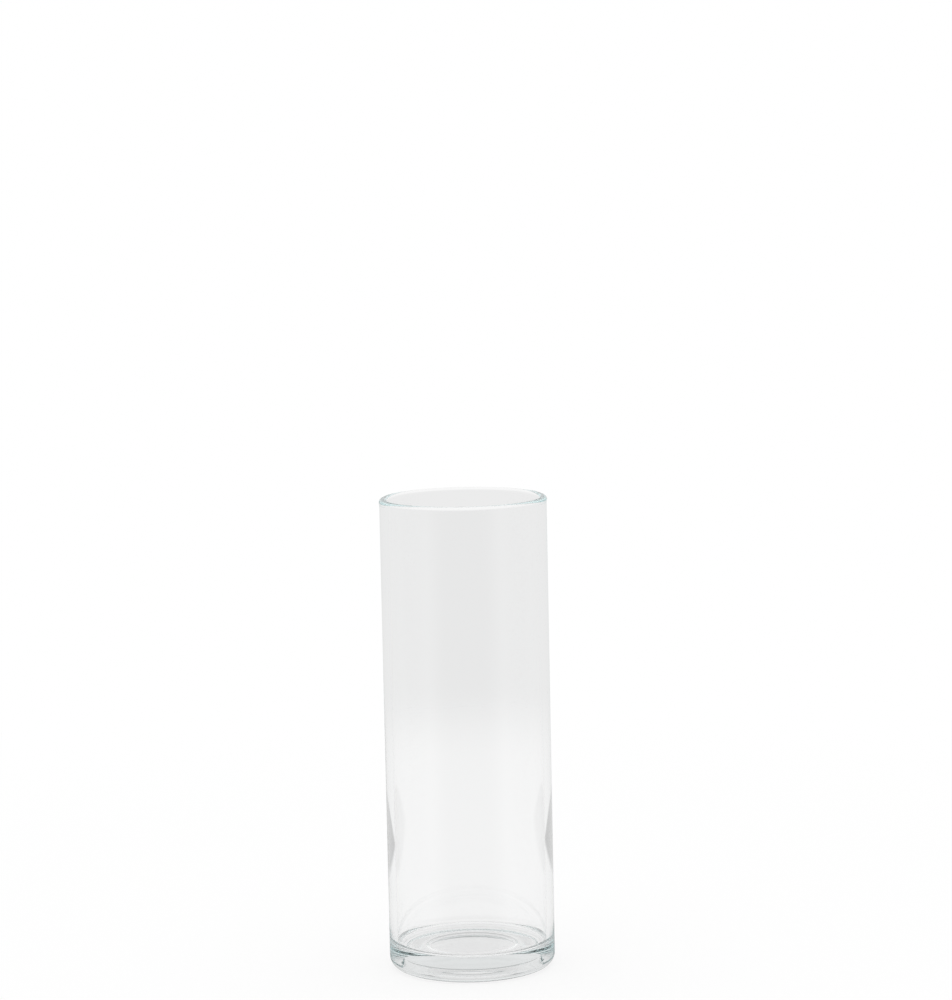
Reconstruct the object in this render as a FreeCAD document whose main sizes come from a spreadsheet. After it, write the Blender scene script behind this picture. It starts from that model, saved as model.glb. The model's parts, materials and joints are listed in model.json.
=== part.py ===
import FreeCAD, Part
import math
import os

import Sketcher

# Glass cylinder vase: one machine-made piece of clear soda-lime glass.
# Millimetres, +Z up, origin at the centre of the base on the plane it stands on.
# The glass is one section turned about Z.  Its corners are then rounded, and a flat recess with
# a deeper well in its middle is cut into the underside.  That leaves a flat bearing ring, the
# only face that touches the table.

NODE = "glass_vessel"

SIZES = [
    ("height", 200.0, "standing plane to the top of the rim"),
    ("outer_diameter", 70.0, "outside of the straight wall"),
    ("wall_thickness", 3.2, "straight wall"),
    ("base_thickness", 10.85, "standing plane to the inner floor"),
    ("heel_radius", 5.0, "outer corner between the wall and the base"),
    ("floor_corner_radius", 2.5, "inner corner between the floor and the wall"),
    ("bead_proud", 0.2, "how far the rim's bead stands out from the wall"),
    ("bead_root_radius", 5.0, "hollow under the bead where it runs into the wall"),
    ("bearing_ring_width", 2.0, "from the end of the heel to the recess under the base"),
    ("recess_radius", "=outer_diameter / 2 - heel_radius - bearing_ring_width",
     "opening of the recess, on the standing plane"),
    ("recess_depth", 1.0, "standing plane to the recess's flat ceiling"),
    ("recess_draft", 15.0, "slope of the recess's side from upright, in degrees"),
    ("recess_edge_radius", 0.6, "rounding of both corners of the recess's side"),
    ("well_margin", 8.5, "from the recess's opening in to the well's opening"),
    ("well_radius", "=recess_radius - well_margin", "opening of the well in the recess's ceiling"),
    ("well_depth", 3.6, "standing plane to the well's flat ceiling"),
    ("well_draft", 18.0, "slope of the well's side from upright, in degrees"),
    ("well_edge_radius", 0.3, "rounding of both corners of the well's side"),
]

ORIGIN = -1
VERTICAL_AXIS = -2
START = 1
END = 2
CENTRE = 3


def make_sheet(doc):
    """Spreadsheet of driving dimensions, one named row each."""
    sheet = doc.addObject("Spreadsheet::Sheet", "sizes")
    for row, (alias, value, note) in enumerate(SIZES, start=1):
        sheet.set("A%d" % row, alias)
        sheet.set("B%d" % row, str(value))
        sheet.set("C%d" % row, note)
        sheet.setAlias("B%d" % row, alias)
    doc.recompute()
    return sheet


def section_sketch(body, name):
    """Empty sketch on the body's own XZ plane, where a turned section is drawn."""
    sketch = body.newObject("Sketcher::SketchObject", name)
    plane = [item for item in body.Origin.OriginFeatures if item.Role == "XZ_Plane"][0]
    sketch.AttachmentSupport = [(plane, "")]
    sketch.MapMode = "FlatFace"
    return sketch


def line(sketch, start, end):
    """Straight edge between two (radius, height) points."""
    segment = Part.LineSegment(FreeCAD.Vector(*start, 0), FreeCAD.Vector(*end, 0))
    return sketch.addGeometry(segment, False)


def circle_at(centre, radius):
    return Part.Circle(FreeCAD.Vector(*centre, 0), FreeCAD.Vector(0, 0, 1), radius)


def arc(sketch, centre, radius, start_angle, end_angle):
    """Round edge, drawn counter-clockwise from start_angle to end_angle."""
    curve = Part.ArcOfCircle(circle_at(centre, radius), start_angle, end_angle)
    return sketch.addGeometry(curve, False)


def join(sketch, first, first_end, second, second_end):
    sketch.addConstraint(
        Sketcher.Constraint("Coincident", first, first_end, second, second_end)
    )


def dimension(sketch, name, expression, value, kind, *where):
    """Named sketch dimension bound to the spreadsheet."""
    index = sketch.addConstraint(Sketcher.Constraint(kind, *where, value))
    sketch.renameConstraint(index, name)
    sketch.setExpression("Constraints." + name, expression)


def turn(body, kind, name, sketch):
    """Full turn of a section about Z, added (Revolution) or cut (Groove)."""
    feature = body.newObject("PartDesign::" + kind, name)
    feature.Profile = sketch
    feature.ReferenceAxis = (sketch, ["V_Axis"])
    feature.Angle = 360.0
    return feature


def circular_edge(feature, radius, height):
    """Name of the circular edge about Z with this radius and height."""
    for index, edge in enumerate(feature.Shape.Edges, start=1):
        if not isinstance(edge.Curve, Part.Circle):
            continue
        same_radius = math.isclose(edge.Curve.Radius, radius, abs_tol=1e-4)
        same_height = math.isclose(edge.Curve.Center.z, height, abs_tol=1e-4)
        if same_radius and same_height:
            return "Edge%d" % index
    raise ValueError("%s has no edge of radius %g at height %g" % (feature.Name, radius, height))


def round_off(body, name, base, radius, height, expression):
    """Fillet on one circular edge."""
    fillet = body.newObject("PartDesign::Fillet", name)
    fillet.Base = (base, [circular_edge(base, radius, height)])
    fillet.setExpression("Radius", expression)
    return fillet


def draw_wall_section(sketch, sheet):
    """Half section of the glass: base, wall and the round bead at the rim."""
    outer = sheet.outer_diameter / 2
    inner = outer - sheet.wall_thickness
    floor = sheet.base_thickness
    bead = (sheet.wall_thickness + sheet.bead_proud) / 2
    bead_centre = (inner + bead, sheet.height - bead)
    bead_start = -math.acos((outer - bead_centre[0]) / bead)
    bead_root = bead_centre[1] + bead * math.sin(bead_start)

    bottom = line(sketch, (0, 0), (outer, 0))
    outside = line(sketch, (outer, 0), (outer, bead_root))
    rim = arc(sketch, bead_centre, bead, bead_start, math.pi)
    inside = line(sketch, (inner, bead_centre[1]), (inner, floor))
    inner_floor = line(sketch, (inner, floor), (0, floor))
    axis = line(sketch, (0, floor), (0, 0))

    join(sketch, bottom, START, ORIGIN, START)
    join(sketch, bottom, END, outside, START)
    join(sketch, outside, END, rim, START)
    sketch.addConstraint(Sketcher.Constraint("Tangent", rim, END, inside, START))
    join(sketch, inside, END, inner_floor, START)
    join(sketch, inner_floor, END, axis, START)
    join(sketch, axis, END, bottom, START)
    for edge in (bottom, inner_floor):
        sketch.addConstraint(Sketcher.Constraint("Horizontal", edge))
    for edge in (outside, inside, axis):
        sketch.addConstraint(Sketcher.Constraint("Vertical", edge))

    dimension(sketch, "outer_radius", "sizes.outer_diameter / 2", outer,
              "DistanceX", ORIGIN, START, bottom, END)
    dimension(sketch, "wall", "sizes.wall_thickness", sheet.wall_thickness,
              "DistanceX", inside, END, outside, START)
    dimension(sketch, "base", "sizes.base_thickness", floor,
              "DistanceY", ORIGIN, START, inner_floor, END)
    dimension(sketch, "bead_radius", "(sizes.wall_thickness + sizes.bead_proud) / 2", bead,
              "Radius", rim)
    dimension(sketch, "bead_height",
              "sizes.height - (sizes.wall_thickness + sizes.bead_proud) / 2", bead_centre[1],
              "DistanceY", ORIGIN, START, rim, CENTRE)
    return bead_root


def draw_pocket_section(sketch, sheet, name, below=None):
    """Flat-topped pocket with a drafted side, from the standing plane or from the pocket below."""
    low = getattr(sheet, below + "_depth") if below else 0.0
    high = getattr(sheet, name + "_depth")
    opening_radius = getattr(sheet, name + "_radius")
    draft = math.radians(getattr(sheet, name + "_draft"))
    ceiling_radius = opening_radius - (high - low) * math.tan(draft)

    opening = line(sketch, (0, low), (opening_radius, low))
    side = line(sketch, (opening_radius, low), (ceiling_radius, high))
    ceiling = line(sketch, (ceiling_radius, high), (0, high))
    axis = line(sketch, (0, high), (0, low))

    join(sketch, opening, END, side, START)
    join(sketch, side, END, ceiling, START)
    join(sketch, ceiling, END, axis, START)
    join(sketch, axis, END, opening, START)
    for edge in (opening, ceiling):
        sketch.addConstraint(Sketcher.Constraint("Horizontal", edge))
    sketch.addConstraint(Sketcher.Constraint("Vertical", axis))

    rise = "sizes.%s_depth" % name
    if below:
        rise += " - sizes.%s_depth" % below
        sketch.addConstraint(Sketcher.Constraint("PointOnObject", opening, START, VERTICAL_AXIS))
        dimension(sketch, "opening_height", "sizes.%s_depth" % below, low,
                  "DistanceY", ORIGIN, START, opening, START)
    else:
        join(sketch, opening, START, ORIGIN, START)
    dimension(sketch, "opening_radius", "sizes.%s_radius" % name, opening_radius,
              "DistanceX", opening, START, opening, END)
    dimension(sketch, "ceiling_radius",
              "sizes.%s_radius - (%s) * tan(sizes.%s_draft * 1 deg)" % (name, rise, name),
              ceiling_radius, "DistanceX", axis, START, side, END)
    dimension(sketch, "ceiling_height", "sizes.%s_depth" % name, high,
              "DistanceY", ORIGIN, START, axis, START)
    return (opening_radius, low), (ceiling_radius, high)


def cut_pocket(doc, body, sheet, base, name, below=None):
    """Cuts a pocket into the underside and rounds both corners of its side."""
    section = section_sketch(body, name + "_section")
    lip, top = draw_pocket_section(section, sheet, name, below)
    pocket = turn(body, "Groove", name, section)
    doc.recompute()
    check_cut(base, pocket)
    rounding = "sizes.%s_edge_radius" % name
    top_fillet = round_off(body, name + "_top", pocket, *top, rounding)
    doc.recompute()
    lip_fillet = round_off(body, name + "_lip", top_fillet, *lip, rounding)
    doc.recompute()
    return lip_fillet


def check_cut(before, after):
    """A groove that points away from the glass cuts nothing and shows no error."""
    if after.Shape.Volume >= before.Shape.Volume:
        raise ValueError("%s removed no glass" % after.Name)


def make_vessel(doc, sheet):
    """The whole vase as one body."""
    body = doc.addObject("PartDesign::Body", NODE)
    body.Label = NODE
    outer = sheet.outer_diameter / 2
    inner = outer - sheet.wall_thickness

    wall_section = section_sketch(body, "wall_section")
    bead_root = draw_wall_section(wall_section, sheet)
    blank = turn(body, "Revolution", "blank", wall_section)
    doc.recompute()

    heel = round_off(body, "heel", blank, outer, 0.0, "sizes.heel_radius")
    doc.recompute()
    corner = round_off(body, "floor_corner", heel, inner, sheet.base_thickness,
                       "sizes.floor_corner_radius")
    doc.recompute()
    root = round_off(body, "bead_root", corner, outer, bead_root, "sizes.bead_root_radius")
    doc.recompute()

    recess = cut_pocket(doc, body, sheet, root, "recess")
    cut_pocket(doc, body, sheet, recess, "well", "recess")
    return body


def check_document(doc, bodies):
    """Stop if any object failed to compute or any body isn't one valid solid."""
    for item in doc.Objects:
        if "Invalid" in item.State or "Error" in item.State:
            raise ValueError("%s failed to compute" % item.Name)
    for body in bodies:
        if body.Shape.isNull() or not body.Shape.isValid():
            raise ValueError("%s has no valid shape" % body.Label)
        if len(body.Shape.Solids) != 1:
            raise ValueError("%s isn't one solid" % body.Label)


def main():
    doc = FreeCAD.newDocument("cylinder_vase")
    sheet = make_sheet(doc)
    bodies = [make_vessel(doc, sheet)]
    doc.recompute()
    check_document(doc, bodies)

    os.makedirs("parts", exist_ok=True)
    for body in bodies:
        body.Shape.exportStep("parts/%s.step" % body.Label)
        box = body.Shape.optimalBoundingBox()
        print("%s: %.2f x %.2f x %.2f mm, %.1f cm3"
              % (body.Label, box.XLength, box.YLength, box.ZLength, body.Shape.Volume / 1000))


main()
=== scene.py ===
import json
import math

import bmesh
import bpy
from mathutils import Matrix, Vector, noise


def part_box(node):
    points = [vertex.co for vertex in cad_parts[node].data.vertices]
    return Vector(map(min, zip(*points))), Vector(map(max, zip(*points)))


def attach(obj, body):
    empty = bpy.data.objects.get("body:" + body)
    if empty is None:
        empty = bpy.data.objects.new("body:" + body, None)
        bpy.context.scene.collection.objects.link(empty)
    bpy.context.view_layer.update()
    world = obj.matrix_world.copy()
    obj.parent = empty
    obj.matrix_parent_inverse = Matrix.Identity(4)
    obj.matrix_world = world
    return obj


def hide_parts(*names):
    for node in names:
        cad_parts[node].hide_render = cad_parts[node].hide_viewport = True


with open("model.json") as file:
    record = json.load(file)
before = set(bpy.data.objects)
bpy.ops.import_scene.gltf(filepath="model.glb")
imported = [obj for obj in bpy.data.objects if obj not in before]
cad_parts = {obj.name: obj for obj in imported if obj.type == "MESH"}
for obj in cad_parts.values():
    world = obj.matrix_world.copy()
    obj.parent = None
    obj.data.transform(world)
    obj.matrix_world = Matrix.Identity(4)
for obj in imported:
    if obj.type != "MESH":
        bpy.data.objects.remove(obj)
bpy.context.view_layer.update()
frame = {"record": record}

bl_info = {
    "name": "Glass cylinder vase",
    "version": (1, 0, 0),
    "blender": (4, 5, 0),
    "location": "3D View > Sidebar > Vase",
    "description": "Builds a clear glass cylinder vase round its packed frame, with a plain studio",
    "category": "Add Mesh",
}

# The frame gives the outline that the glass has to keep.
NODE = "glass_vessel"
NODE_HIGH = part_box(NODE)[1]
MOUNTS = {mount["name"]: mount for mount in frame["record"]["mounts"]}
MILLIMETRE = 0.001
HEIGHT = NODE_HIGH[2]
RIM_RADIUS = NODE_HIGH[0]
INNER_RADIUS = MOUNTS["mouth"]["dims"]["r_mm"] * MILLIMETRE
BEAD_CENTRE = MOUNTS["mouth"]["pos_m"][2]
WALL_FOOT = BEAD_CENTRE - MOUNTS["mouth"]["dims"]["length_mm"] * MILLIMETRE


# ---------------------------------------------------------------- settings

class VaseGlassSettings(bpy.types.PropertyGroup):
    wall_thickness: bpy.props.FloatProperty(
        name="Wall thickness", description="Thickness of the straight wall",
        default=3.2 * MILLIMETRE, min=0.001, unit="LENGTH")
    heel_radius: bpy.props.FloatProperty(
        name="Heel radius", description="Outer corner between the wall and the base",
        default=5.0 * MILLIMETRE, min=0.001, unit="LENGTH")
    floor_corner_radius: bpy.props.FloatProperty(
        name="Floor corner radius", description="Inner corner between the floor and the wall",
        default=2.5 * MILLIMETRE, min=0.001, unit="LENGTH")
    bead_root_radius: bpy.props.FloatProperty(
        name="Bead root radius", description="Hollow under the bead, where it runs into the wall",
        default=5.0 * MILLIMETRE, min=0.0005, unit="LENGTH")
    recess_radius: bpy.props.FloatProperty(
        name="Recess radius", description="Opening of the recess under the base",
        default=28.0 * MILLIMETRE, min=0.002, unit="LENGTH")
    recess_depth: bpy.props.FloatProperty(
        name="Recess depth", description="Floor to the recess's flat ceiling",
        default=1.0 * MILLIMETRE, min=0.0002, unit="LENGTH")
    recess_draft: bpy.props.FloatProperty(
        name="Recess draft", description="Slope of the recess's side from upright",
        default=math.radians(15.0), min=0.0, max=math.radians(80.0), subtype="ANGLE")
    recess_edge_radius: bpy.props.FloatProperty(
        name="Recess edge radius", description="Rounding of both corners of the recess's side",
        default=0.6 * MILLIMETRE, min=0.0001, unit="LENGTH")
    well_radius: bpy.props.FloatProperty(
        name="Well radius", description="Opening of the well in the recess's ceiling",
        default=19.5 * MILLIMETRE, min=0.002, unit="LENGTH")
    well_depth: bpy.props.FloatProperty(
        name="Well depth", description="Floor to the well's flat ceiling",
        default=3.6 * MILLIMETRE, min=0.0002, unit="LENGTH")
    well_draft: bpy.props.FloatProperty(
        name="Well draft", description="Slope of the well's side from upright",
        default=math.radians(18.0), min=0.0, max=math.radians(80.0), subtype="ANGLE")
    well_edge_radius: bpy.props.FloatProperty(
        name="Well edge radius", description="Rounding of both corners of the well's side",
        default=0.3 * MILLIMETRE, min=0.0001, unit="LENGTH")
    stipple_count: bpy.props.IntProperty(
        name="Stipple count", description="Ripples round the recess's ceiling", default=96, min=8)
    stipple_depth: bpy.props.FloatProperty(
        name="Stipple depth", description="Depth of a ripple in the recess's ceiling",
        default=0.08 * MILLIMETRE, min=0.0, unit="LENGTH")
    wall_waver: bpy.props.FloatProperty(
        name="Wall waver", description="Unevenness of the inner wall",
        default=0.04 * MILLIMETRE, min=0.0, unit="LENGTH")
    turns: bpy.props.IntProperty(
        name="Segments", description="Segments round the glass", default=360, min=32)
    hand_marks: bpy.props.FloatProperty(
        name="Hand marks", description="Roughness of the faint marks that handling leaves",
        default=0.012, min=0.0, max=1.0)
    scuffs: bpy.props.FloatProperty(
        name="Scuffs", description="Roughness of the bearing ring, worn by the table",
        default=0.3, min=0.0, max=1.0)
    tint: bpy.props.FloatVectorProperty(
        name="Tint", description="Colour that is left after light has crossed thick glass",
        subtype="COLOR", size=3, min=0.0, max=1.0, default=(0.55, 0.76, 0.77))
    tint_density: bpy.props.FloatProperty(
        name="Tint density", description="How fast the glass takes up light, per metre",
        default=1.5, min=0.0)
    index: bpy.props.FloatProperty(
        name="Refractive index", description="Soda-lime glass", default=1.52, min=1.0)


class VaseStageSettings(bpy.types.PropertyGroup):
    camera_distance: bpy.props.FloatProperty(
        name="Camera distance", description="From the vase's axis, level",
        default=1.47, min=0.1, unit="LENGTH")
    camera_height: bpy.props.FloatProperty(
        name="Camera height", description="Above the floor", default=0.3842, unit="LENGTH")
    camera_side: bpy.props.FloatProperty(
        name="Camera side", description="How far the camera stands to the right of the vase",
        default=0.0055, unit="LENGTH")
    camera_pitch: bpy.props.FloatProperty(
        name="Camera pitch", description="How far the camera looks down",
        default=math.radians(7.20), subtype="ANGLE")
    camera_roll: bpy.props.FloatProperty(
        name="Camera roll", description="Tilt of the camera about its line of sight",
        default=math.radians(-1.19), subtype="ANGLE")
    lens: bpy.props.FloatProperty(
        name="Lens", description="Focal length in millimetres on a 36 mm sensor",
        default=127.6, min=10.0)
    floor_size: bpy.props.FloatProperty(
        name="Floor size", description="Radius of the floor", default=4.0, unit="LENGTH")
    shadow_share: bpy.props.FloatProperty(
        name="Shadow share", description="How much of the floor's white is lit, near the vase",
        default=0.15, min=0.0, max=1.0)
    # Painted shade: seen straight the floor and backdrop are white; these three darker tones show only
    # through the glass.
    near_tone: bpy.props.FloatProperty(
        name="Near tone", description="Floor seen through the glass, near the vase",
        default=0.93, min=0.0)
    far_tone: bpy.props.FloatProperty(
        name="Far tone", description="Floor seen through the glass, far behind it",
        default=0.84, min=0.0)
    sky_tone: bpy.props.FloatProperty(
        name="Upper tone", description="Backdrop seen through the glass, high up",
        default=0.72, min=0.0)
    # Painted shade, seen only by way of one reflection inside the glass.
    turned_tone: bpy.props.FloatProperty(
        name="Turned tone", description="Backdrop high up, seen by way of one reflection inside the glass",
        default=0.8, min=0.0)
    # Painted reflection: a dark half disc on the table, seen only by way of one reflection inside the
    # glass.
    patch_place: bpy.props.FloatProperty(
        name="Patch place", description="How far behind the vase the dark half disc on the table starts",
        default=0.17, unit="LENGTH")
    patch_radius: bpy.props.FloatProperty(
        name="Patch radius", description="Radius of the dark half disc, which the wall's edges pick up",
        default=0.2, min=0.01, unit="LENGTH")
    patch_depth: bpy.props.FloatProperty(
        name="Patch depth", description="Darkness of the half disc", default=0.45, min=0.0, max=1.0)
    # Painted reflections: the room that these three tones give shows only in the glass's reflections; seen
    # straight everything is white.
    side_tone: bpy.props.FloatProperty(
        name="Side tone", description="Table and room beside the vase, in reflections",
        default=0.8, min=0.0)
    front_tone: bpy.props.FloatProperty(
        name="Front tone", description="Table and room in front of the vase, in reflections",
        default=0.1, min=0.0)
    ceiling_tone: bpy.props.FloatProperty(
        name="Ceiling tone", description="Ceiling of the room, in reflections",
        default=1.0, min=0.0)
    # Painted shade: light that turned six to thirty times inside the glass sees the floor near the vase and
    # the backdrop above the horizon darkened to this share.
    trapped_share: bpy.props.FloatProperty(
        name="Trapped share", description="Share left of light that has turned many times inside the glass",
        default=0.05, min=0.0, max=1.0)
    # Painted light: rays that turned more than sixty times inside the glass see this tone, whatever they
    # hit.
    guided_tone: bpy.props.FloatProperty(
        name="Guided tone", description="Tone of light that the wall guides up to the rim",
        default=1.0, min=0.0)
    ambient: bpy.props.FloatProperty(
        name="Ambient", description="Level of the light from all round", default=0.65, min=0.0)
    lamp_size: bpy.props.FloatProperty(
        name="Lamp size", description="Side of the soft box", default=1.2, min=0.01, unit="LENGTH")
    lamp_height: bpy.props.FloatProperty(
        name="Lamp height", description="Soft box above the floor", default=1.3, unit="LENGTH")
    lamp_power: bpy.props.FloatProperty(
        name="Lamp power", description="Output of the soft box in watts", default=7.2, min=0.0)


# ---------------------------------------------------------------- node trees

class Wiring:
    """Shorthand for the sums in a shader's node tree."""

    def __init__(self, tree):
        self.nodes = tree.nodes
        self.links = tree.links

    def add(self, kind, **sockets):
        node = self.nodes.new(kind)
        for name, value in sockets.items():
            self.feed(value, node.inputs[name.replace("_", " ")])
        return node

    def feed(self, value, socket):
        if isinstance(value, bpy.types.NodeSocket):
            self.links.new(value, socket)
        else:
            socket.default_value = value

    def sum(self, operation, *terms):
        node = self.nodes.new("ShaderNodeMath")
        node.operation = operation
        for term, socket in zip(terms, node.inputs):
            self.feed(term, socket)
        return node.outputs["Value"]

    def distance(self, start, end=(0.0, 0.0, 0.0)):
        node = self.nodes.new("ShaderNodeVectorMath")
        node.operation = "DISTANCE"
        self.feed(start, node.inputs[0])
        self.feed(end, node.inputs[1])
        return node.outputs["Value"]

    def fade(self, value, start, end, low, high):
        """Runs smoothly from low at the start to high at the end."""
        node = self.add("ShaderNodeMapRange", From_Min=start, From_Max=end, To_Min=low, To_Max=high)
        node.interpolation_type = "SMOOTHSTEP"
        self.feed(value, node.inputs["Value"])
        return node.outputs["Result"]

    def choose(self, mask, off, on):
        node = self.nodes.new("ShaderNodeMix")
        self.feed(mask, node.inputs["Factor"])
        self.feed(off, node.inputs["A"])
        self.feed(on, node.inputs["B"])
        return node.outputs["Result"]


# ---------------------------------------------------------------- glass

QUARTER_TURN = 90.0
HALF_TURN = 180.0
SURFACE_TOLERANCE = 0.01 * MILLIMETRE
MERGE_DISTANCE = 0.0005 * MILLIMETRE

# The ripples keep clear of the well's lip and of the recess's rounded corner.
RIPPLE_INSIDE_GAP = 1.0 * MILLIMETRE
RIPPLE_OUTSIDE_GAP = 1.5 * MILLIMETRE
RIPPLE_NOISE = 900.0
RIPPLE_UNEVENNESS = 0.3

# The waver fades out over this length at both ends of the wall, and is longer upwards than round.
WAVER_EASE = 0.015
WAVER_ROUND = 45.0
WAVER_UPWARDS = 22.0

# Noise of the smears and of the scuffed ring's grain, and the heights over which the scuffs end.
SMEAR_SCALE = 28.0
SMEAR_DISTORTION = 0.6
SMEAR_FADE = (0.55, 0.75)
GRAIN_SCALE = 900.0
GRAIN_FADE = (0.4, 0.6)
GRAIN_LEAST = 0.4
SCUFF_FADE = (0.05 * MILLIMETRE, 0.3 * MILLIMETRE)


class Pen:
    """Draws a wire in the XZ plane, each run tangent to the one before it."""

    def __init__(self, bm, radius, height, heading):
        self.bm = bm
        self.tip = bm.verts.new((radius, 0.0, height))
        self.heading = heading

    def direction(self, offset=0.0):
        angle = math.radians(self.heading + offset)
        return Vector((math.cos(angle), 0.0, math.sin(angle)))

    def straight(self, length, steps=1):
        for _ in range(steps):
            grown = bmesh.ops.extrude_vert_indiv(self.bm, verts=[self.tip])
            self.tip = grown["verts"][0]
            self.tip.co += self.direction() * (length / steps)

    def bend(self, radius, angle, steps):
        """Arc that turns left by angle degrees, or right where it is negative."""
        side = math.copysign(1.0, angle)
        centre = self.tip.co + self.direction(QUARTER_TURN * side) * radius
        turned = bmesh.ops.spin(
            self.bm, geom=[self.tip], cent=centre, axis=(0.0, -side, 0.0),
            angle=math.radians(abs(angle)), steps=steps, use_duplicate=False)
        self.tip = [item for item in turned["geom_last"] if isinstance(item, bmesh.types.BMVert)][0]
        self.heading += angle


def step_down(pen, corner, drop, draft, edge):
    """Flat ceiling out to a corner's radius, then a drafted side with both its corners rounded."""
    climb = math.pi / 2.0 - draft
    side = drop / math.sin(climb)
    ease = edge * math.tan(climb / 2.0)
    pen.straight(corner - side * math.cos(climb) - ease - pen.tip.co.x, steps=8)
    pen.bend(edge, -math.degrees(climb), steps=6)
    pen.straight(side - 2.0 * ease, steps=2)
    pen.bend(edge, math.degrees(climb), steps=6)


def draw_section(bm, glass):
    """Half section of the glass, from the middle of the underside to the middle of the floor."""
    outer_radius = INNER_RADIUS + glass.wall_thickness

    # Underside: a well in the ceiling of a shallow recess.
    pen = Pen(bm, 0.0, glass.well_depth, 0.0)
    well_rise = glass.well_depth - glass.recess_depth
    step_down(pen, glass.well_radius, well_rise, glass.well_draft, glass.well_edge_radius)
    step_down(pen, glass.recess_radius, glass.recess_depth, glass.recess_draft, glass.recess_edge_radius)

    # Bearing ring, heel and outside of the wall.
    pen.straight(outer_radius - glass.heel_radius - pen.tip.co.x, steps=3)
    pen.bend(glass.heel_radius, QUARTER_TURN, steps=18)
    bead_radius = HEIGHT - BEAD_CENTRE
    proud = RIM_RADIUS - outer_radius
    root = glass.bead_root_radius
    root_turn = math.degrees(math.acos(1.0 - proud / (root + bead_radius)))
    wall_top = BEAD_CENTRE - (root + bead_radius) * math.sin(math.radians(root_turn))
    pen.straight(wall_top - pen.tip.co.z, steps=30)

    # Bead at the rim.
    pen.bend(root, -root_turn, steps=6)
    pen.bend(bead_radius, HALF_TURN + root_turn, steps=24)

    # Inside of the wall, floor corner and floor.
    pen.straight(pen.tip.co.z - WALL_FOOT, steps=44)
    pen.bend(glass.floor_corner_radius, -QUARTER_TURN, steps=12)
    pen.straight(pen.tip.co.x, steps=12)


def stipple(bm, glass):
    """Fine radial ripples that the mould leaves in the recess's ceiling, outside the well."""
    inside = glass.well_radius + RIPPLE_INSIDE_GAP
    outside = glass.recess_radius - RIPPLE_OUTSIDE_GAP
    for vert in bm.verts:
        radius = vert.co.xy.length
        across = (radius - inside) / (outside - inside)
        on_ceiling = abs(vert.co.z - glass.recess_depth) <= SURFACE_TOLERANCE
        if not on_ceiling or not 0.0 < across < 1.0:
            continue
        angle = math.atan2(vert.co.y, vert.co.x)
        ripple = 0.5 - 0.5 * math.cos(glass.stipple_count * angle)
        uneven = 1.0 - RIPPLE_UNEVENNESS + RIPPLE_UNEVENNESS * noise.noise(vert.co * RIPPLE_NOISE)
        vert.co.z += glass.stipple_depth * ripple * uneven * math.sin(math.pi * across)


def waver(bm, glass):
    """Slight unevenness that blowing leaves in the inner wall."""
    for vert in bm.verts:
        radius = vert.co.xy.length
        on_wall = abs(radius - INNER_RADIUS) <= SURFACE_TOLERANCE
        if not on_wall or not WALL_FOOT < vert.co.z < BEAD_CENTRE:
            continue
        nearest_end = min(BEAD_CENTRE - vert.co.z, vert.co.z - WALL_FOOT)
        ease = min(1.0, nearest_end / WAVER_EASE)
        place = vert.co * Vector((WAVER_ROUND, WAVER_ROUND, WAVER_UPWARDS))
        shift = noise.noise(place) * glass.wall_waver * ease
        vert.co.x *= 1.0 + shift / radius
        vert.co.y *= 1.0 + shift / radius


def glass_material(glass):
    """Clear glass: smooth, with faint hand marks, a scuffed foot and a tint that grows with depth."""
    material = bpy.data.materials.new("clear_glass")
    material.use_nodes = True
    wiring = Wiring(material.node_tree)
    nodes = wiring.nodes
    shader = nodes["Principled BSDF"]
    shader.inputs["Base Color"].default_value = (1.0, 1.0, 1.0, 1.0)
    shader.inputs["Metallic"].default_value = 0.0
    shader.inputs["Transmission Weight"].default_value = 1.0
    shader.inputs["IOR"].default_value = glass.index

    place = nodes.new("ShaderNodeTexCoord").outputs["Object"]
    height = wiring.add("ShaderNodeSeparateXYZ", Vector=place).outputs["Z"]
    smears = wiring.add("ShaderNodeTexNoise", Vector=place, Scale=SMEAR_SCALE, Detail=3.0,
                        Distortion=SMEAR_DISTORTION)
    marks = wiring.fade(smears.outputs["Fac"], *SMEAR_FADE, 0.0, glass.hand_marks)
    speckle = wiring.add("ShaderNodeTexNoise", Vector=place, Scale=GRAIN_SCALE, Detail=2.0)
    grain = wiring.fade(speckle.outputs["Fac"], *GRAIN_FADE, GRAIN_LEAST, 1.0)
    foot = wiring.fade(height, *SCUFF_FADE, glass.scuffs, 0.0)
    scuffs = wiring.sum("MULTIPLY", foot, grain)
    wiring.feed(wiring.sum("MAXIMUM", marks, scuffs), shader.inputs["Roughness"])

    volume = wiring.add("ShaderNodeVolumeAbsorption", Color=(*glass.tint, 1.0), Density=glass.tint_density)
    wiring.feed(volume.outputs["Volume"], nodes["Material Output"].inputs["Volume"])
    return material


class VASE_OT_glass_vessel(bpy.types.Operator):
    """Build the whole vase: one piece of clear glass"""
    bl_idname = "vase.glass_vessel"
    bl_label = "Glass vessel"

    def execute(self, context):
        glass = context.scene.vase_glass
        bm = bmesh.new()
        draw_section(bm, glass)
        bmesh.ops.spin(
            bm, geom=bm.verts[:] + bm.edges[:], cent=(0.0, 0.0, 0.0), axis=(0.0, 0.0, 1.0),
            angle=math.tau, steps=glass.turns, use_merge=True, use_duplicate=False)
        bmesh.ops.remove_doubles(bm, verts=bm.verts, dist=MERGE_DISTANCE)
        stipple(bm, glass)
        waver(bm, glass)
        bmesh.ops.recalc_face_normals(bm, faces=bm.faces)
        for face in bm.faces:
            face.smooth = True
        mesh = bpy.data.meshes.new("vase_glass")
        bm.to_mesh(mesh)
        bm.free()
        mesh.materials.append(glass_material(glass))
        piece = bpy.data.objects.new("vase_glass", mesh)
        context.scene.collection.objects.link(piece)
        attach(piece, "root")
        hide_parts(NODE)
        return {"FINISHED"}


# ---------------------------------------------------------------- stage

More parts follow.
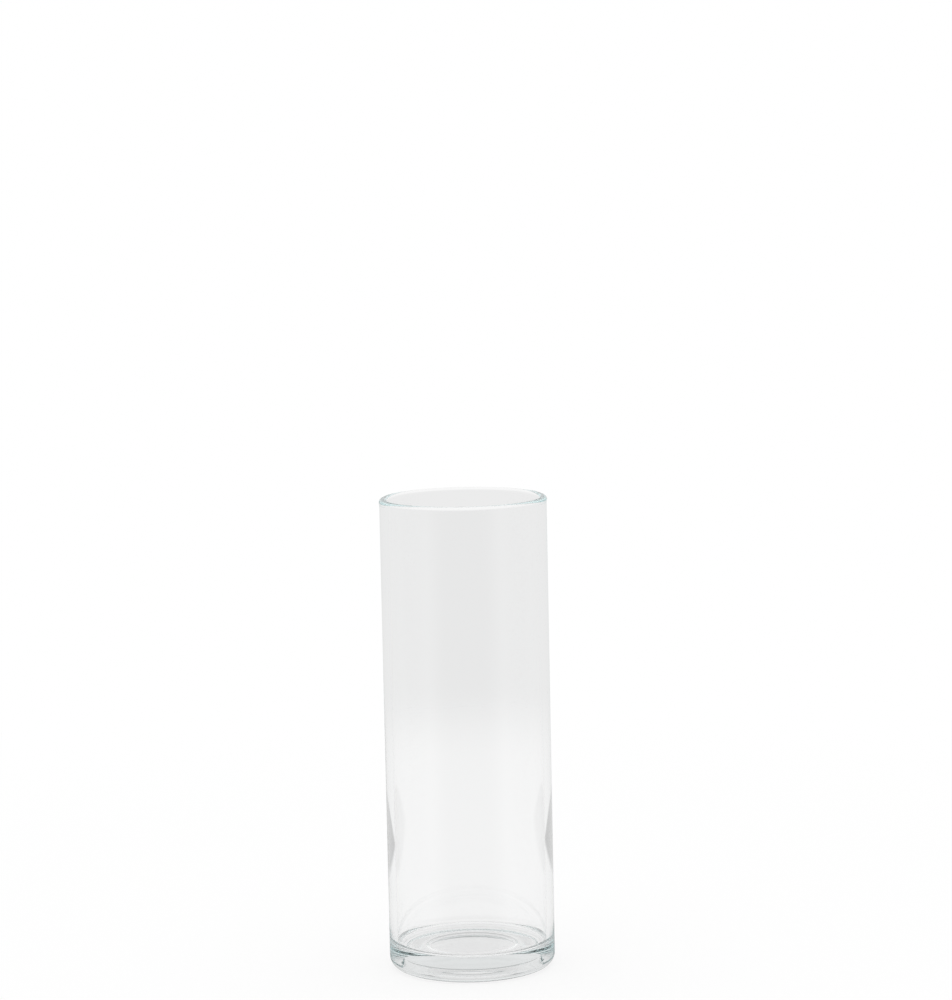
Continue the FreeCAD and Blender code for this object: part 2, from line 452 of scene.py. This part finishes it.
# A ray's class depends on how often it has turned. Each limit lies half a turn below the count it lets in.
ONCE = 0.5
TWICE = 1.5
TRAPPED_TURNS = 5.5
LONG_TURNS = 30.5
GUIDED_TURNS = 60.5

# Distances from the vase's axis over which the floor's tones fade, in metres.
SHADOW_FADE = (0.15, 0.6)
SWEEP_FADE = (0.42, 0.68)
CONTACT_SHADOW_FADE = (0.03, 0.12)
TRAPPED_FLOOR_FADE = (0.3, 0.8)

# The painted half disc's edges are soft over these lengths, in metres.
PATCH_SOFTNESS = 0.01
PATCH_FRONT_SOFTNESS = 0.015

# The painted contact shadow on the table against the foot, seen only in reflections, and the table's colour
# in scattered light.
CONTACT_SHADOW_TONE = 0.6
FLOOR_COLOUR = 0.8

# Directions over which the room's painted tones fade. Straight in front is -1, and the horizon is 0.
FRONT_FADE = (-0.95, -0.6)
SKY_FADE = (0.06, 0.25)
CEILING_FADE = (-0.02, 0.15)
TRAPPED_SKY_FADE = (-0.02, 0.05)

# The wall guides light up to the rim in up to several hundred turns.
LIGHT_BOUNCES = 512
CAMERA_REACH = 20.0


def sort_rays(wiring):
    """Masks for a ray's way here: straight, by reflections off or inside the glass, or as light."""
    path = wiring.nodes.new("ShaderNodeLightPath").outputs
    turns = path["Glossy Depth"]
    bounced = wiring.sum("GREATER_THAN", turns, ONCE)
    bounced_again = wiring.sum("GREATER_THAN", turns, TWICE)
    outside = wiring.sum("LESS_THAN", path["Transmission Depth"], ONCE)
    off_outside = wiring.sum("MULTIPLY", bounced, outside)
    room = wiring.sum("MAXIMUM", off_outside, bounced_again)
    many = wiring.sum("GREATER_THAN", turns, TRAPPED_TURNS)
    long = wiring.sum("GREATER_THAN", turns, LONG_TURNS)
    trapped = wiring.sum("SUBTRACT", many, long)
    guided = wiring.sum("GREATER_THAN", turns, GUIDED_TURNS)
    lighting = wiring.sum("GREATER_THAN", path["Diffuse Depth"], ONCE)
    return path["Is Camera Ray"], bounced, room, trapped, guided, lighting


def build_floor(context, stage):
    bm = bmesh.new()
    bmesh.ops.create_circle(bm, cap_ends=True, segments=64, radius=stage.floor_size)
    mesh = bpy.data.meshes.new("floor")
    bm.to_mesh(mesh)
    bm.free()
    floor = bpy.data.objects.new("floor", mesh)
    context.scene.collection.objects.link(floor)

    material = bpy.data.materials.new("pale_floor")
    material.use_nodes = True
    wiring = Wiring(material.node_tree)
    wiring.nodes.remove(wiring.nodes["Principled BSDF"])
    place = wiring.nodes.new("ShaderNodeTexCoord").outputs["Object"]
    reach = wiring.distance(place)
    behind = wiring.add("ShaderNodeSeparateXYZ", Vector=place).outputs["Y"]
    direct, bounced, room, trapped, guided, lighting = sort_rays(wiring)

    # Seen straight, the floor is white and keeps a soft shadow near the vase.
    shaded = wiring.fade(reach, *SHADOW_FADE, stage.shadow_share, 0.0)
    lit = wiring.sum("SUBTRACT", 1.0, shaded)

    # Painted shade: seen through the glass it is darker than seen straight, and falls off a little with
    # distance.
    sweep = wiring.fade(reach, *SWEEP_FADE, stage.near_tone, stage.far_tone)
    through = wiring.sum("MULTIPLY", sweep, lit)

    # Painted reflection: one reflection inside the glass adds a dark half disc behind the vase, which is
    # not there when the table is seen straight.
    offset = wiring.distance(place, (0.0, stage.patch_place, 0.0))
    inner = stage.patch_radius - PATCH_SOFTNESS
    outer = stage.patch_radius + PATCH_SOFTNESS
    disc = wiring.fade(offset, inner, outer, stage.patch_depth, 0.0)
    front = stage.patch_place - PATCH_FRONT_SOFTNESS
    back = stage.patch_place + PATCH_SOFTNESS
    patch = wiring.sum("MULTIPLY", disc, wiring.fade(behind, front, back, 0.0, 1.0))
    turned = wiring.sum("MULTIPLY", sweep, wiring.sum("SUBTRACT", 1.0, patch))

    # Painted reflections: in the glass's own reflections the table is bright at both sides and dark in
    # front, though seen straight it is white.
    facing = wiring.sum("DIVIDE", behind, reach)
    sides = wiring.fade(facing, *FRONT_FADE, stage.front_tone, stage.side_tone)
    # Painted shadow: in reflections the table darkens towards the foot.
    contact_shadow = wiring.fade(reach, *CONTACT_SHADOW_FADE, CONTACT_SHADOW_TONE, 1.0)

    tone = wiring.choose(direct, through, lit)
    tone = wiring.choose(bounced, tone, turned)
    tone = wiring.choose(room, tone, wiring.sum("MULTIPLY", sides, contact_shadow))
    # Painted shade: rays that turned six to thirty times in the glass see the floor near the vase darkened
    # to the trapped share.
    left = wiring.fade(reach, *TRAPPED_FLOOR_FADE, stage.trapped_share, 1.0)
    tone = wiring.sum("MULTIPLY", tone, wiring.choose(trapped, 1.0, left))
    # Painted light: rays that turned more than sixty times inside the glass see the guided tone, whatever
    # they hit.
    tone = wiring.choose(guided, tone, stage.guided_tone)
    tone = wiring.choose(lighting, tone, 0.0)
    shaded = wiring.choose(bounced, shaded, 0.0)
    shaded = wiring.choose(lighting, shaded, FLOOR_COLOUR)

    glow = wiring.add("ShaderNodeEmission", Strength=tone)
    paint = wiring.nodes.new("ShaderNodeBsdfDiffuse")
    wiring.feed(shaded, paint.inputs["Color"])
    both = wiring.nodes.new("ShaderNodeAddShader")
    wiring.links.new(glow.outputs["Emission"], both.inputs[0])
    wiring.links.new(paint.outputs["BSDF"], both.inputs[1])
    wiring.links.new(both.outputs["Shader"], wiring.nodes["Material Output"].inputs["Surface"])
    mesh.materials.append(material)
    return floor


def build_world(context, stage):
    world = bpy.data.worlds.new("studio")
    world.use_nodes = True
    context.scene.world = world
    wiring = Wiring(world.node_tree)
    towards = wiring.nodes.new("ShaderNodeTexCoord").outputs["Generated"]
    parts = wiring.add("ShaderNodeSeparateXYZ", Vector=towards).outputs
    facing = parts["Y"]
    rise = parts["Z"]
    direct, bounced, room, trapped, guided, lighting = sort_rays(wiring)
    # Painted shade: the camera sees white, while rays through the glass see a backdrop that darkens
    # upwards, a little less after one reflection inside the glass.
    sweep = wiring.fade(rise, *SKY_FADE, stage.far_tone, stage.sky_tone)
    # Painted reflections: rays reflected off or in the glass see a room, dark in front and bright at the
    # sides and above, where the camera sees white.
    painted_walls = wiring.fade(facing, *FRONT_FADE, stage.front_tone, stage.side_tone)
    ceiling = wiring.fade(rise, *CEILING_FADE, painted_walls, stage.ceiling_tone)
    turned = wiring.fade(rise, *SKY_FADE, stage.far_tone, stage.turned_tone)
    tone = wiring.choose(direct, sweep, 1.0)
    tone = wiring.choose(bounced, tone, turned)
    tone = wiring.choose(room, tone, ceiling)
    # Painted shade: rays that turned six to thirty times in the glass see the backdrop above the horizon
    # darkened to the trapped share.
    left = wiring.fade(rise, *TRAPPED_SKY_FADE, 1.0, stage.trapped_share)
    tone = wiring.sum("MULTIPLY", tone, wiring.choose(trapped, 1.0, left))
    # Painted light: rays that turned more than sixty times inside the glass see the guided tone, whatever
    # they hit.
    tone = wiring.choose(guided, tone, stage.guided_tone)
    tone = wiring.choose(lighting, tone, stage.ambient)
    wiring.feed(tone, wiring.nodes["Background"].inputs["Strength"])
    wiring.feed((1.0, 1.0, 1.0, 1.0), wiring.nodes["Background"].inputs["Color"])


def build_lamp(context, stage):
    """Large soft box overhead, which only lays the shadow."""
    data = bpy.data.lights.new("soft_box", "AREA")
    data.shape = "SQUARE"
    data.size = stage.lamp_size
    data.energy = stage.lamp_power
    lamp = bpy.data.objects.new("soft_box", data)
    context.scene.collection.objects.link(lamp)
    lamp.matrix_world = Matrix.Translation((0.0, 0.0, stage.lamp_height))
    lamp.visible_glossy = False
    lamp.visible_transmission = False


def build_camera(context, stage):
    data = bpy.data.cameras.new("camera")
    data.lens = stage.lens
    data.clip_end = CAMERA_REACH
    camera = bpy.data.objects.new("camera", data)
    context.scene.collection.objects.link(camera)
    place = Matrix.Translation((stage.camera_side, -stage.camera_distance, stage.camera_height))
    look = Matrix.Rotation(math.pi / 2.0 - stage.camera_pitch, 4, "X")
    roll = Matrix.Rotation(stage.camera_roll, 4, "Z")
    camera.matrix_world = place @ look @ roll
    context.scene.camera = camera


class VASE_OT_stage(bpy.types.Operator):
    """Set up the floor, the light and the camera"""
    bl_idname = "vase.stage"
    bl_label = "Stage"

    def execute(self, context):
        stage = context.scene.vase_stage
        build_floor(context, stage)
        build_world(context, stage)
        build_lamp(context, stage)
        build_camera(context, stage)
        context.scene.view_settings.view_transform = "Standard"
        light_paths = context.scene.cycles
        light_paths.max_bounces = LIGHT_BOUNCES
        light_paths.glossy_bounces = LIGHT_BOUNCES
        light_paths.transmission_bounces = LIGHT_BOUNCES
        return {"FINISHED"}


# ---------------------------------------------------------------- panel and registration

class VASE_PT_panel(bpy.types.Panel):
    """Lists the pieces and their sizes"""
    bl_idname = "VASE_PT_panel"
    bl_label = "Glass cylinder vase"
    bl_space_type = "VIEW_3D"
    bl_region_type = "UI"
    bl_category = "Vase"

    def draw(self, context):
        for settings, operator in (("vase_glass", "vase.glass_vessel"), ("vase_stage", "vase.stage")):
            box = self.layout.box()
            group = getattr(context.scene, settings)
            for name in group.__annotations__:
                box.prop(group, name)
            box.operator(operator)


CLASSES = (
    VaseGlassSettings,
    VaseStageSettings,
    VASE_OT_glass_vessel,
    VASE_OT_stage,
    VASE_PT_panel,
)


def register():
    for item in CLASSES:
        bpy.utils.register_class(item)
    bpy.types.Scene.vase_glass = bpy.props.PointerProperty(type=VaseGlassSettings)
    bpy.types.Scene.vase_stage = bpy.props.PointerProperty(type=VaseStageSettings)


def unregister():
    del bpy.types.Scene.vase_stage
    del bpy.types.Scene.vase_glass
    for item in reversed(CLASSES):
        bpy.utils.unregister_class(item)


def main():
    register()
    bpy.ops.vase.glass_vessel()
    bpy.ops.vase.stage()


if __name__ == "__main__":
    main()
